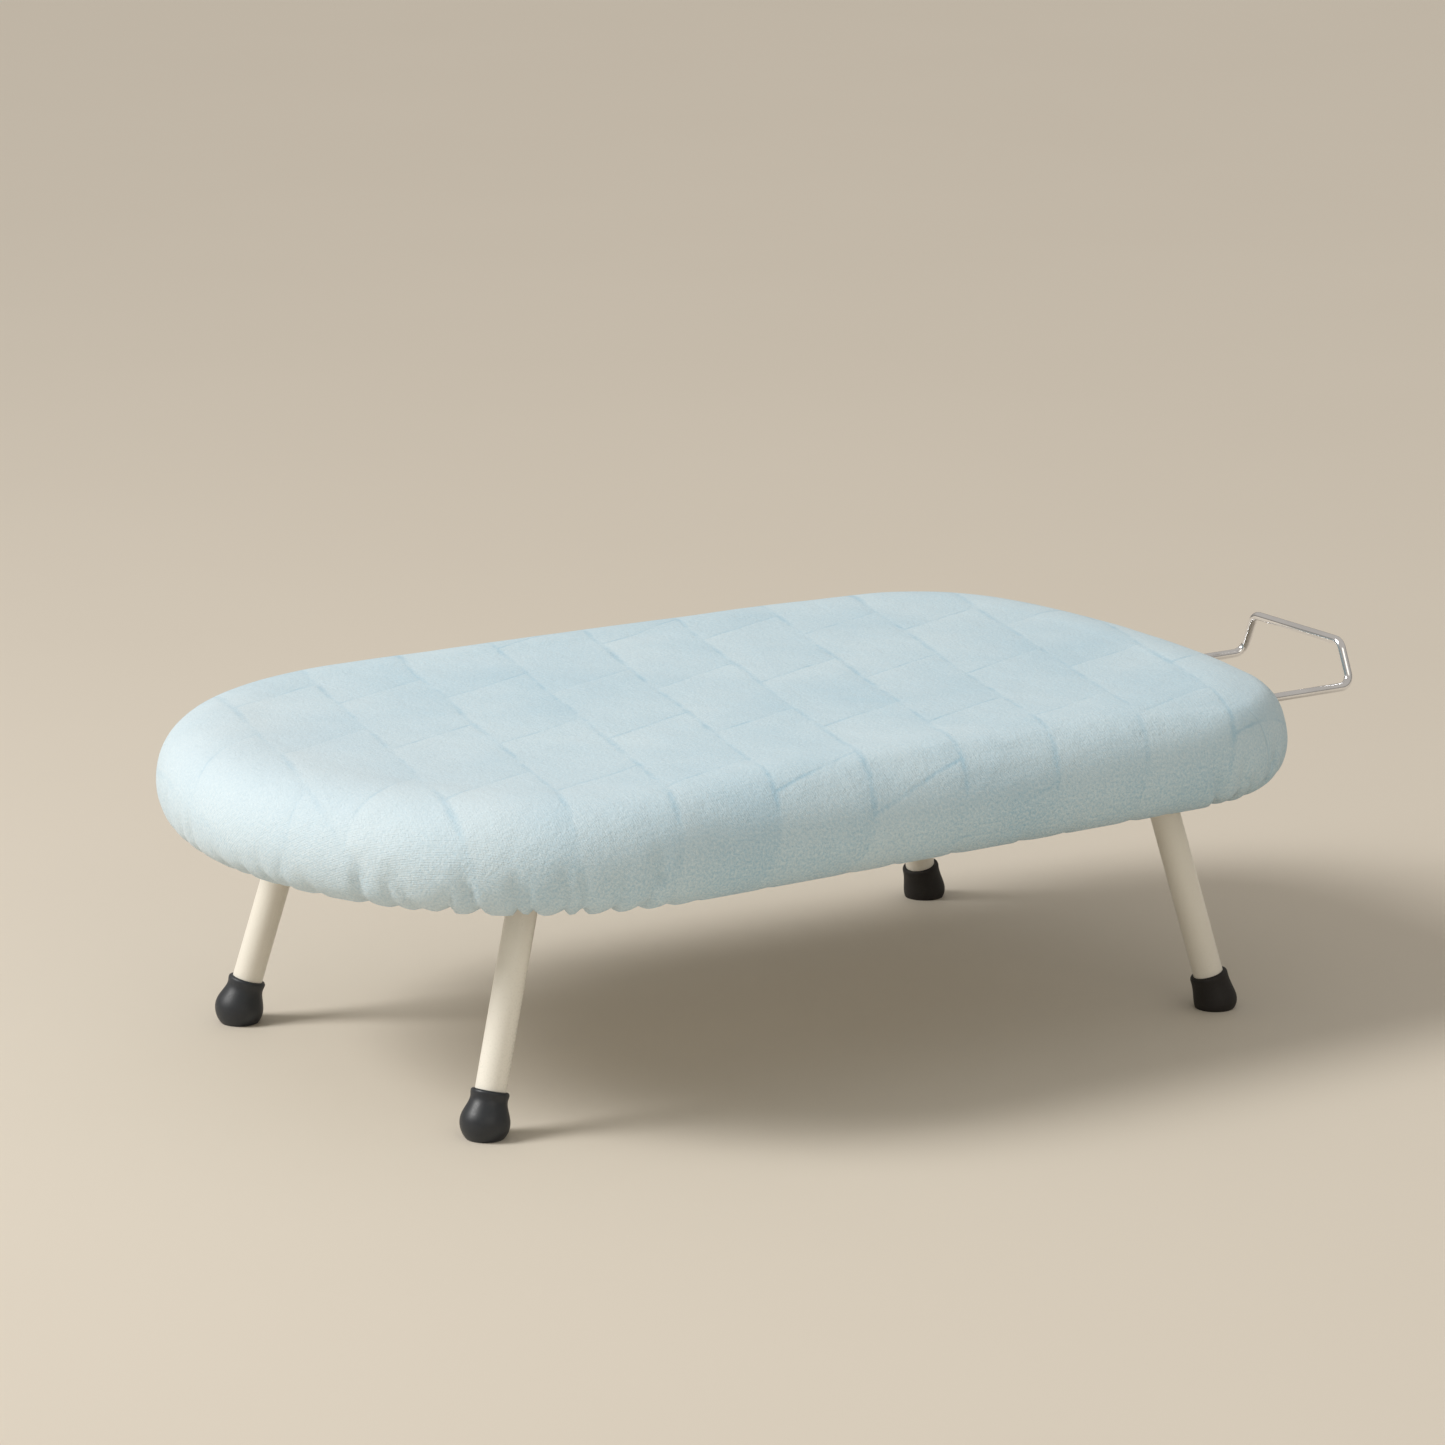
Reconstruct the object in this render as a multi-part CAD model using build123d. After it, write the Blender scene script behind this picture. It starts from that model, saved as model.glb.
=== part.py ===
from build123d import *
import math
import os

# A tabletop ironing board with two folding leg frames and a wire rest that slides out of one end.
# Millimetres. +X points to the iron rest, +Y to the back, +Z up, and the floor is at Z 0.
# The origin is on the floor, under the middle of the whole footprint with the rest drawn out.

os.makedirs("parts", exist_ok=True)

# ------------------------------------------------------------------ driving dimensions: the board
HALF_LENGTH = 300.0
REST_END_HALF_WIDTH = 182.0
FAR_END_HALF_WIDTH = 193.0
REST_END_RADIUS = 496.0
REST_CORNER_RADIUS = 98.5
FAR_END_RADIUS = 223.0
FAR_CORNER_RADIUS = 156.0
TOP_Z = 175.5
HEM_Z = 119.0
TOP_ROUND = 33.0
BOTTOM_ROUND = 22.0
COVER_T = 1.0
FOAM_T = 8.0
PANEL_T = 0.6
RIM_INSET = 16.0
RIM_T = 1.0
RIM_LIP = 8.0
RIM_BOTTOM_Z = HEM_Z + 7.0
HEM_INSET = 36.0
HEM_CHANNEL_WIDTH = 7.0
HEM_CHANNEL_HEIGHT = 2.0
ELASTIC_WIDTH = 5.0
ELASTIC_T = 1.4
VENT_RADIUS = 8.0
VENT_PITCH = 30.0
VENT_COLUMNS = 10
VENT_ROWS = 7

# ------------------------------------------------------------------ driving dimensions: the legs
TUBE_RADIUS = 8.0
TUBE_WALL = 1.2
TUBE_BEND = 28.0
HINGE_FIT = 0.08
HINGE_Z = 156.5
FAR_LEAN = 15.8
REST_LEAN = 15.0
FAR_SPREAD = 5.8
REST_SPREAD = 5.3
FAR_FOOT_X = -218.0
REST_FOOT_X = 232.5
FAR_FOOT_Y = 125.0
REST_FOOT_Y = 135.5
TUBE_END_HEIGHT = 9.0

# ------------------------------------------------------------------ driving dimensions: the rest
WIRE_RADIUS = 2.4
WIRE_BEND = 6.5
REST_Z = 137.6
REST_ARM_Y = 48.3
REST_BAR_Y = 38.3
REST_BAR_Z = 160.7
REST_REACH = 387.0
REST_HOOK = 12.0
GUIDE_X = 245.0
GUIDE_T = 2.0
GUIDE_FLANGE = 17.0
GUIDE_MARGIN = 14.0
GUIDE_BELOW = 9.0
GUIDE_BRIDGE = 10.0

# ------------------------------------------------------------------ driving dimensions: brackets
SADDLE_T = 1.6
SADDLE_WIDTH = 20.0
SADDLE_EAR = 14.0
SADDLE_TO_BEND = 4.0
STOP_T = 2.0
STOP_GAP = 0.35
STOP_WIDTH = 24.0
STOP_DROP = 34.0
STOP_FLANGE = 17.0
STOP_RIVET_OUT = 9.4
STOP_RIVET_ASIDE = 6.7
RIVET_RADIUS = 2.0
RIVET_HEAD_RADIUS = 3.8
RIVET_HEAD_HEIGHT = 1.8
RIVET_HEAD_ROUND = 1.25
HOLE_PLAY = 0.1
CLIP_REACH = 110.0
CLIP_EAR = 15.0
CLIP_EAR_T = 3.0
CLIP_LIP = 5.0
FOLDED_DIP = 4.0
CLIP_LENGTH = 14.0
CLIP_WALL = 2.4
CLIP_GAP = 0.5
BUSH_WALL = 2.4
BUSH_FIT = 0.3
BUSH_FLANGE_RADIUS = 9.0
BUSH_FLANGE_T = 1.8
BUSH_FLANGE_ROUND = 1.1
BUSH_COLLAR = 1.5

# ------------------------------------------------------------------ cutters
CUT = 1.0
WIDE_CUT = 400.0

# ------------------------------------------------------------------ worked out from the above
PANEL_TOP_Z = TOP_Z - COVER_T - FOAM_T
PANEL_UNDER_Z = PANEL_TOP_Z - PANEL_T
WHOLE_RIGHT = REST_REACH + WIRE_RADIUS
BOARD_X = (HALF_LENGTH - WHOLE_RIGHT) / 2
FAR_HINGE_X = FAR_FOOT_X + HINGE_Z * math.tan(math.radians(FAR_LEAN))
REST_HINGE_X = REST_FOOT_X - HINGE_Z * math.tan(math.radians(REST_LEAN))


def save(name, *solids):
    """Move a node from the board's own centre line to the part's origin, and write it."""
    placed = [Pos(BOARD_X, 0, 0) * solid for solid in solids]
    shape = placed[0] if len(placed) == 1 else Compound(children=placed)
    shape.label = name
    export_step(shape, f"parts/{name}.step")


# ------------------------------------------------------------------ outline of the board
def end_circles(half_width, end_radius, corner_radius):
    """The x of an end arc's centre, and the centre of the corner arc that blends it to the side."""
    end_x = HALF_LENGTH - end_radius
    rise = half_width - corner_radius
    corner_x = end_x + math.sqrt((end_radius - corner_radius) ** 2 - rise**2)
    return end_x, Vector(corner_x, rise)


def outline(inset):
    """The board's outline drawn in by inset: two end arcs, four corner arcs, two tapered sides."""
    near_end_x, near_corner = end_circles(REST_END_HALF_WIDTH, REST_END_RADIUS, REST_CORNER_RADIUS)
    far_end_x, far_corner = end_circles(FAR_END_HALF_WIDTH, FAR_END_RADIUS, FAR_CORNER_RADIUS)
    far_corner = Vector(-far_corner.X, far_corner.Y)
    between = near_corner - far_corner
    slope = math.atan2(between.Y, between.X)
    turn = math.acos((FAR_CORNER_RADIUS - REST_CORNER_RADIUS) / between.length)
    side_angle = slope + turn
    near_angle = math.atan2(near_corner.Y, near_corner.X - near_end_x)
    far_angle = math.pi - math.atan2(far_corner.Y, -far_corner.X - far_end_x)

    def on_circle(centre, radius, angle):
        return Vector(
            centre.X + (radius - inset) * math.cos(angle), centre.Y + (radius - inset) * math.sin(angle)
        )

    near_tip = Vector(HALF_LENGTH - inset, 0)
    near_blend = on_circle(near_corner, REST_CORNER_RADIUS, near_angle)
    near_mid = on_circle(near_corner, REST_CORNER_RADIUS, (near_angle + side_angle) / 2)
    near_side = on_circle(near_corner, REST_CORNER_RADIUS, side_angle)
    far_side = on_circle(far_corner, FAR_CORNER_RADIUS, side_angle)
    far_mid = on_circle(far_corner, FAR_CORNER_RADIUS, (far_angle + side_angle) / 2)
    far_blend = on_circle(far_corner, FAR_CORNER_RADIUS, far_angle)
    far_tip = Vector(inset - HALF_LENGTH, 0)

    def mirrored(point):
        return Vector(point.X, -point.Y)

    edges = [
        ThreePointArc(mirrored(near_blend), near_tip, near_blend),
        ThreePointArc(near_blend, near_mid, near_side),
        Line(near_side, far_side),
        ThreePointArc(far_side, far_mid, far_blend),
        ThreePointArc(far_blend, far_tip, mirrored(far_blend)),
        ThreePointArc(mirrored(far_blend), mirrored(far_mid), mirrored(far_side)),
        Line(mirrored(far_side), mirrored(near_side)),
        ThreePointArc(mirrored(near_side), mirrored(near_mid), mirrored(near_blend)),
    ]
    return make_face(edges)


def slab(inset, low_z, high_z):
    """A flat block with the board's outline, between two heights."""
    return extrude(Pos(0, 0, low_z) * outline(inset), amount=high_z - low_z)


def pillow(inset):
    """The board's soft outside, drawn in by inset: a slab with its top and bottom edges rounded."""
    block = slab(inset, HEM_Z + inset, TOP_Z - inset)
    top_edges = block.faces().sort_by(Axis.Z)[-1].edges()
    block = fillet(top_edges, TOP_ROUND - inset)
    bottom_edges = block.faces().sort_by(Axis.Z)[0].edges()
    return fillet(bottom_edges, BOTTOM_ROUND - inset)


# ------------------------------------------------------------------ places shared by several pieces
def upright_rod(x, y, low_z, high_z, radius):
    """A round rod along Z."""
    return Pos(x, y, (low_z + high_z) / 2) * Cylinder(radius, high_z - low_z)


def along_x_rod(low_x, high_x, y, z, radius):
    """A round rod along X."""
    return Pos((low_x + high_x) / 2, y, z) * Rot(0, 90, 0) * Cylinder(radius, high_x - low_x)


def leg_frame_dims(foot_x, foot_y, hinge_x, lean, spread):
    """Sizes of one leg frame, measured in its own plane, which leans outward from the hinge."""
    outward = 1 if foot_x > 0 else -1
    reach = HINGE_Z / math.cos(math.radians(lean))
    corner_y = foot_y - reach * math.tan(math.radians(spread))
    bend_run = TUBE_BEND * math.tan(math.radians((90 - spread) / 2))
    saddle_y = corner_y - bend_run - SADDLE_WIDTH / 2 - SADDLE_TO_BEND
    return {
        "outward": outward,
        "hinge_x": hinge_x,
        "lean": lean,
        "spread": spread,
        "reach": reach,
        "corner_y": corner_y,
        "saddle_y": saddle_y,
    }


FAR_LEGS = leg_frame_dims(FAR_FOOT_X, FAR_FOOT_Y, FAR_HINGE_X, FAR_LEAN, FAR_SPREAD)
REST_LEGS = leg_frame_dims(REST_FOOT_X, REST_FOOT_Y, REST_HINGE_X, REST_LEAN, REST_SPREAD)
LEG_FRAMES = {"left": FAR_LEGS, "right": REST_LEGS}
SIDES = {"back": 1, "front": -1}


def saddle_rivet_places(legs, side):
    """Where the two rivets of one saddle go."""
    offset = TUBE_RADIUS + HINGE_FIT + SADDLE_T + SADDLE_EAR / 2
    return [(legs["hinge_x"] + sign * offset, side * legs["saddle_y"]) for sign in (-1, 1)]


def stop_flange_start(legs):
    """The x at which a stop's tongue meets the underside of the panel."""
    lean = math.radians(legs["lean"])
    rise = PANEL_UNDER_Z - HINGE_Z
    off_plane = TUBE_RADIUS + STOP_GAP + STOP_T
    return legs["hinge_x"] + legs["outward"] * (off_plane / math.cos(lean) - rise * math.tan(lean))


def stop_rivet_places(legs, side):
    """Where the two rivets of one stop go."""
    x = stop_flange_start(legs) + legs["outward"] * STOP_RIVET_OUT
    return [(x, side * (legs["corner_y"] + aside)) for aside in (-STOP_RIVET_ASIDE, STOP_RIVET_ASIDE)]


def guide_rivet_places():
    """Where the rivets of the rest's guide go."""
    return [(GUIDE_X + GUIDE_T + GUIDE_FLANGE / 2, y) for y in (-REST_ARM_Y, 0.0, REST_ARM_Y)]


def clip_place(legs, side):
    """Centre of one folded tube inside its clip."""
    x = legs["hinge_x"] - legs["outward"] * CLIP_REACH
    y = side * (legs["corner_y"] + CLIP_REACH * math.tan(math.radians(legs["spread"])))
    z = HINGE_Z - CLIP_REACH * math.tan(math.radians(FOLDED_DIP))
    return x, y, z


def clip_screw_place(legs, side):
    """Where the screw of one clip goes, in its ear on the outer side."""
    x, y, _ = clip_place(legs, side)
    return x, y + side * (TUBE_RADIUS + CLIP_GAP + CLIP_WALL + CLIP_EAR / 2)


# ------------------------------------------------------------------ top panel and rim
def top_panel():
    """Sheet-steel top with vent holes and the holes of every rivet and screw."""
    sheet = slab(RIM_INSET + RIM_T, PANEL_UNDER_Z, PANEL_TOP_Z)
    holes = []
    for column in range(VENT_COLUMNS):
        for row in range(VENT_ROWS):
            x = (column - (VENT_COLUMNS - 1) / 2) * VENT_PITCH
            y = (row - (VENT_ROWS - 1) / 2) * VENT_PITCH
            holes.append((x, y, VENT_RADIUS))
    for legs in LEG_FRAMES.values():
        for side in SIDES.values():
            places = saddle_rivet_places(legs, side) + stop_rivet_places(legs, side)
            for x, y in places + [clip_screw_place(legs, side)]:
                holes.append((x, y, RIVET_RADIUS + HOLE_PLAY))
    for x, y in guide_rivet_places():
        holes.append((x, y, RIVET_RADIUS + HOLE_PLAY))
    cutters = [upright_rod(x, y, PANEL_UNDER_Z - CUT, PANEL_TOP_Z + CUT, radius) for x, y, radius in holes]
    return sheet - cutters


def bush_holes(radius):
    """The two rods that cut the way of the rest's bushes through the end of the board."""
    low_x, high_x = HALF_LENGTH - HEM_INSET, HALF_LENGTH + CUT
    return [along_x_rod(low_x, high_x, side * REST_ARM_Y, REST_Z, radius) for side in (-1, 1)]


def rim_band():
    """Steel strip bent round the panel, with an inward lip along its lower edge."""
    wall = slab(RIM_INSET, RIM_BOTTOM_Z, PANEL_TOP_Z) - slab(RIM_INSET + RIM_T, RIM_BOTTOM_Z - CUT, TOP_Z)
    lip_inside = slab(RIM_INSET + RIM_T + RIM_LIP, RIM_BOTTOM_Z - CUT, TOP_Z)
    lip = slab(RIM_INSET + RIM_T, RIM_BOTTOM_Z, RIM_BOTTOM_Z + RIM_T) - lip_inside
    return wall + lip - bush_holes(WIRE_RADIUS + BUSH_FIT + BUSH_WALL)


# ------------------------------------------------------------------ soft parts
def foam_pad():
    """Foam over the panel and down over the rim, under the cover."""
    hollow = slab(RIM_INSET, HEM_Z - CUT, PANEL_TOP_Z)
    return pillow(COVER_T) - hollow - bush_holes(WIRE_RADIUS + BUSH_FIT + BUSH_WALL)


def cover():
    """Cotton cover: a thin skin over the foam, turned in below and sewn into a channel."""
    skin = pillow(0) - pillow(COVER_T) - slab(HEM_INSET, HEM_Z - CUT, HEM_Z + BOTTOM_ROUND)
    wall_top_z = HEM_Z + HEM_CHANNEL_HEIGHT + 2 * COVER_T
    wall = slab(HEM_INSET - COVER_T, HEM_Z, wall_top_z) - slab(HEM_INSET, HEM_Z - CUT, wall_top_z + CUT)
    turned_inset = HEM_INSET - COVER_T - HEM_CHANNEL_WIDTH
    turned = slab(turned_inset, wall_top_z - COVER_T, wall_top_z) - slab(HEM_INSET, HEM_Z, wall_top_z + CUT)
    return skin + wall + turned - bush_holes(WIRE_RADIUS + BUSH_FIT + BUSH_WALL)


def hem_elastic():
    """Flat elastic that lies in the hem's channel and draws it in."""
    outer_inset = HEM_INSET - COVER_T - (HEM_CHANNEL_WIDTH + ELASTIC_WIDTH) / 2
    low_z = HEM_Z + COVER_T
    ring = slab(outer_inset, low_z, low_z + ELASTIC_T)
    return ring - slab(outer_inset + ELASTIC_WIDTH, low_z - CUT, low_z + ELASTIC_T + CUT)


# ------------------------------------------------------------------ leg frames, feet and brackets
def lean_out(legs, shape):
    """Lean a shape drawn below the hinge line, then move it to the hinge."""
    return Pos(legs["hinge_x"], 0, HINGE_Z) * Rot(0, -legs["outward"] * legs["lean"], 0) * shape


def leg_frame(legs):
    """One bent tube: a cross bar, which is the hinge, and two legs that spread apart."""
    length = legs["reach"] - TUBE_END_HEIGHT
    end_y = legs["corner_y"] + length * math.tan(math.radians(legs["spread"]))
    corner_y = legs["corner_y"]
    path = FilletPolyline(
        (0, -end_y, -length), (0, -corner_y, 0), (0, corner_y, 0), (0, end_y, -length), radius=TUBE_BEND
    )
    start = Plane(path @ 0, z_dir=path % 0)
    outside = sweep(start * Circle(TUBE_RADIUS), path=path)
    inside = sweep(start * Circle(TUBE_RADIUS - TUBE_WALL), path=path)
    return lean_out(legs, outside - inside)


# Feet as radius and height above the sole; the last point is below the floor, where the foot is cut.
BULB_PROFILE = [
    (8.9, 24.6),
    (9.7, 23.9),
    (9.6, 21.0),
    (10.4, 16.5),
    (12.3, 11.5),
    (12.8, 8.0),
    (11.4, 2.8),
    (7.0, -2.0),
]
TAPER_PROFILE = [(9.1, 19.9), (9.9, 19.1), (10.1, 17.0), (11.4, 6.0), (11.5, 3.2), (10.5, 0.0), (8.0, -2.5)]


def foot(legs, side, profile):
    """A rubber foot on a tube's end, turned about the leg and cut level with the floor."""
    spline = Spline(*[(radius, 0, height) for radius, height in profile])
    top_height = profile[0][1]
    bottom_height = profile[-1][1]
    half = make_face(
        [
            spline,
            Line((profile[-1][0], 0, bottom_height), (0, 0, bottom_height)),
            Line((0, 0, bottom_height), (0, 0, top_height)),
            Line((0, 0, top_height), (profile[0][0], 0, top_height)),
        ]
    )
    body = revolve(half, Axis.Z)
    socket = upright_rod(0, 0, TUBE_END_HEIGHT, top_height + CUT, TUBE_RADIUS)
    spread = Rot(side * legs["spread"], 0, 0)
    end_y = side * (legs["corner_y"] + legs["reach"] * math.tan(math.radians(legs["spread"])))
    placed = lean_out(legs, Pos(0, end_y, -legs["reach"]) * spread * (body - socket))
    below_floor = Pos(legs["hinge_x"], 0, -WIDE_CUT / 2) * Box(WIDE_CUT, WIDE_CUT, WIDE_CUT)
    return placed - below_floor


def saddle(legs, side):
    """Steel strap under the cross bar, with an ear on each side against the panel."""
    x = legs["hinge_x"]
    y = side * legs["saddle_y"]
    inner = TUBE_RADIUS + HINGE_FIT
    outer = inner + SADDLE_T
    height = PANEL_UNDER_Z - HINGE_Z
    rod = Rot(90, 0, 0) * Cylinder(outer, SADDLE_WIDTH)
    walls = Pos(0, 0, height / 2) * Box(2 * outer, SADDLE_WIDTH, height)
    ears = Pos(0, 0, height - SADDLE_T / 2) * Box(2 * (outer + SADDLE_EAR), SADDLE_WIDTH, SADDLE_T)
    above = Pos(0, 0, height + WIDE_CUT / 2) * Box(WIDE_CUT, WIDE_CUT, WIDE_CUT)
    hole = Rot(90, 0, 0) * Cylinder(inner, SADDLE_WIDTH + 2 * CUT)
    slot = Pos(0, 0, height) * Box(2 * inner, SADDLE_WIDTH + 2 * CUT, 2 * height)
    strap = Pos(x, y, HINGE_Z) * (rod + walls + ears - above - hole - slot)
    radius = RIVET_RADIUS + HOLE_PLAY
    places = saddle_rivet_places(legs, side)
    return strap - [upright_rod(*place, HINGE_Z, PANEL_TOP_Z, radius) for place in places]


def stop(legs, side):
    """Steel angle whose tongue stands just outside the leg, so that it can lean no further."""
    outward = legs["outward"]
    y = side * legs["corner_y"]
    near = TUBE_RADIUS + STOP_GAP
    tongue = Box(STOP_T, STOP_WIDTH, 2 * STOP_DROP)
    tongue = lean_out(legs, Pos(outward * (near + STOP_T / 2), y, 0) * tongue)
    start_x = stop_flange_start(legs)
    flange_x = start_x + outward * (STOP_FLANGE / 2 - STOP_T / 2)
    flange_z = PANEL_UNDER_Z - STOP_T / 2
    flange = Pos(flange_x, y, flange_z) * Box(STOP_FLANGE + STOP_T, STOP_WIDTH, STOP_T)
    above = Pos(legs["hinge_x"], y, PANEL_UNDER_Z + WIDE_CUT / 2) * Box(WIDE_CUT, WIDE_CUT, WIDE_CUT)
    inside = Pos(outward * (near - WIDE_CUT / 2), y, 0) * Box(WIDE_CUT, WIDE_CUT, WIDE_CUT)
    radius = RIVET_RADIUS + HOLE_PLAY
    holes = [upright_rod(*place, HINGE_Z, PANEL_TOP_Z, radius) for place in stop_rivet_places(legs, side)]
    return tongue + flange - above - lean_out(legs, inside) - holes


def rivet(x, y, sheet_t):
    """A rivet through the panel and one bracket, with its head below."""
    head_top_z = PANEL_UNDER_Z - sheet_t
    shank = upright_rod(x, y, head_top_z, PANEL_TOP_Z, RIVET_RADIUS)
    head = upright_rod(x, y, head_top_z - RIVET_HEAD_HEIGHT, head_top_z, RIVET_HEAD_RADIUS)
    lower_edge = head.faces().sort_by(Axis.Z)[0].edges()
    return fillet(lower_edge, RIVET_HEAD_ROUND) + shank


def leg_clip(legs, side):
    """Plastic clip under the panel that the tube of one folded leg rests in."""
    x, y, z = clip_place(legs, side)
    inner = TUBE_RADIUS + CLIP_GAP
    outer = inner + CLIP_WALL
    top = PANEL_UNDER_Z - z
    walls = Pos(0, 0, (top - CLIP_LIP) / 2) * Box(CLIP_LENGTH, 2 * outer, top + CLIP_LIP)
    ear = Pos(0, side * (outer + CLIP_EAR / 2), top - CLIP_EAR_T / 2) * Box(CLIP_LENGTH, CLIP_EAR, CLIP_EAR_T)
    hole = Rot(0, 90 - legs["outward"] * FOLDED_DIP, 0) * Cylinder(inner, CLIP_LENGTH + 4 * CUT)
    mouth = Pos(0, 0, -CLIP_LIP) * Box(CLIP_LENGTH + 2 * CUT, 2 * inner, 2 * CLIP_LIP)
    turn = Rot(0, 0, -side * legs["outward"] * legs["spread"])
    body = Pos(x, y, z) * turn * (walls + ear - hole - mouth)
    return body - upright_rod(*clip_screw_place(legs, side), z, PANEL_TOP_Z, RIVET_RADIUS + HOLE_PLAY)


# ------------------------------------------------------------------ iron rest, guide and bushes
def iron_rest():
    """One bent wire: hooked inner ends, two arms, two uprights and the bar across them."""
    hook_x = GUIDE_X - WIRE_BEND - STOP_GAP
    arm = (REST_REACH, REST_ARM_Y, REST_Z)
    bar = (REST_REACH, REST_BAR_Y, REST_BAR_Z)
    half = [(hook_x, REST_ARM_Y - REST_HOOK, REST_Z), (hook_x, REST_ARM_Y, REST_Z), arm, bar]
    other_half = [(x, -y, z) for x, y, z in reversed(half)]
    path = FilletPolyline(*half, *other_half, radius=WIRE_BEND)
    start = Plane(path @ 0, z_dir=path % 0)
    return sweep(start * Circle(WIRE_RADIUS), path=path)


def rest_guide():
    """Steel angle under the panel with one hole for each arm of the rest."""
    half_width = REST_ARM_Y + GUIDE_MARGIN
    low_z = REST_Z - GUIDE_BELOW
    height = PANEL_UNDER_Z - low_z
    plate = Pos(GUIDE_X + GUIDE_T / 2, 0, low_z + height / 2) * Box(GUIDE_T, 2 * half_width, height)
    flange_z = PANEL_UNDER_Z - GUIDE_T / 2
    flange = Pos(GUIDE_X + GUIDE_FLANGE / 2, 0, flange_z) * Box(GUIDE_FLANGE, 2 * half_width, GUIDE_T)
    window_width = 2 * (REST_ARM_Y - GUIDE_MARGIN)
    window_top_z = PANEL_UNDER_Z - GUIDE_BRIDGE
    window_height = 2 * (window_top_z - low_z)
    window = Pos(GUIDE_X + GUIDE_T / 2, 0, low_z) * Box(GUIDE_T + 2 * CUT, window_width, window_height)
    low_x, high_x = GUIDE_X - CUT, GUIDE_X + GUIDE_T + CUT
    arm_radius = WIRE_RADIUS + BUSH_FIT
    arms = [along_x_rod(low_x, high_x, side * REST_ARM_Y, REST_Z, arm_radius) for side in (-1, 1)]
    radius = RIVET_RADIUS + HOLE_PLAY
    holes = [upright_rod(*place, REST_Z, PANEL_TOP_Z, radius) for place in guide_rivet_places()]
    return plate + flange - window - arms - holes


def end_surface_x(inset, y):
    """The x of the board's end arc at one y."""
    radius = REST_END_RADIUS - inset
    return HALF_LENGTH - REST_END_RADIUS + math.sqrt(radius**2 - y**2)


def rest_bush(side):
    """Plastic bush for one arm: a sleeve through the end, a flange outside and a collar inside."""
    y = side * REST_ARM_Y
    tube_radius = WIRE_RADIUS + BUSH_FIT + BUSH_WALL
    outer_x = end_surface_x(0, REST_ARM_Y - BUSH_FLANGE_RADIUS) + HOLE_PLAY
    collar_radius = tube_radius + BUSH_COLLAR
    inner_x = end_surface_x(RIM_INSET + RIM_T, REST_ARM_Y + collar_radius) - HOLE_PLAY
    flange = along_x_rod(outer_x, outer_x + BUSH_FLANGE_T, y, REST_Z, BUSH_FLANGE_RADIUS)
    face_edge = flange.faces().sort_by(Axis.X)[-1].edges()
    flange = fillet(face_edge, BUSH_FLANGE_ROUND)
    sleeve = along_x_rod(inner_x - BUSH_FLANGE_T, outer_x + CUT, y, REST_Z, tube_radius)
    collar = along_x_rod(inner_x - BUSH_FLANGE_T, inner_x, y, REST_Z, collar_radius)
    bore_low_x, bore_high_x = inner_x - BUSH_FLANGE_T - CUT, outer_x + BUSH_FLANGE_T + CUT
    bore = along_x_rod(bore_low_x, bore_high_x, y, REST_Z, WIRE_RADIUS + BUSH_FIT)
    return flange + sleeve + collar - bore


# ------------------------------------------------------------------ write every node
save("top_panel", top_panel())
save("rim_band", rim_band())
save("foam_pad", foam_pad())
save("cover", cover())
save("hem_elastic", hem_elastic())
save("rest_guide", rest_guide())
save("iron_rest", iron_rest())

saddle_rivets = []
stop_rivets = []
clip_screws = []
for end, legs in LEG_FRAMES.items():
    profile = BULB_PROFILE if end == "left" else TAPER_PROFILE
    save(f"{end}_leg_frame", leg_frame(legs))
    for side_name, side in SIDES.items():
        save(f"{end}_{side_name}_foot", foot(legs, side, profile))
        save(f"{end}_{side_name}_saddle", saddle(legs, side))
        save(f"{end}_{side_name}_stop", stop(legs, side))
        save(f"{end}_{side_name}_clip", leg_clip(legs, side))
        saddle_rivets += [rivet(x, y, SADDLE_T) for x, y in saddle_rivet_places(legs, side)]
        stop_rivets += [rivet(x, y, STOP_T) for x, y in stop_rivet_places(legs, side)]
        clip_screws.append(rivet(*clip_screw_place(legs, side), CLIP_EAR_T))

for side_name, side in SIDES.items():
    save(f"{side_name}_rest_bush", rest_bush(side))

save("saddle_rivets", *saddle_rivets)
save("stop_rivets", *stop_rivets)
save("guide_rivets", *[rivet(x, y, GUIDE_T) for x, y in guide_rivet_places()])
save("clip_screws", *clip_screws)
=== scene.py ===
import math
import random

import bpy
import numpy as np
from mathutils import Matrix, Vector, noise


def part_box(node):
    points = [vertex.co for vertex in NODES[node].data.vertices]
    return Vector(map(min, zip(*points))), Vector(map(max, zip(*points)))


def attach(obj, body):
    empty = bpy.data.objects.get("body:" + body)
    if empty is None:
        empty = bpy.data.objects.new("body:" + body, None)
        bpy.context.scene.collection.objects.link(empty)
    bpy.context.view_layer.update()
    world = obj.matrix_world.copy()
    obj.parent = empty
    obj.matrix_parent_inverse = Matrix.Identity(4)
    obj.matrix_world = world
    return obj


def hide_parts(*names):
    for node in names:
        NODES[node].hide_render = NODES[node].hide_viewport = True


# A tabletop ironing board: the soft pieces, materials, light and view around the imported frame. Metres.

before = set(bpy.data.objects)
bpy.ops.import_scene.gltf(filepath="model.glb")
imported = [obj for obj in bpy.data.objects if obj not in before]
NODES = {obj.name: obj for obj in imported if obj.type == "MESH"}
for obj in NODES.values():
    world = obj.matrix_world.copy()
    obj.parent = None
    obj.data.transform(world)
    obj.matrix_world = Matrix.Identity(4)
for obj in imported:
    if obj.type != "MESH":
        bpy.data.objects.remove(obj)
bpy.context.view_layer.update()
MM = 0.001

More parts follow.
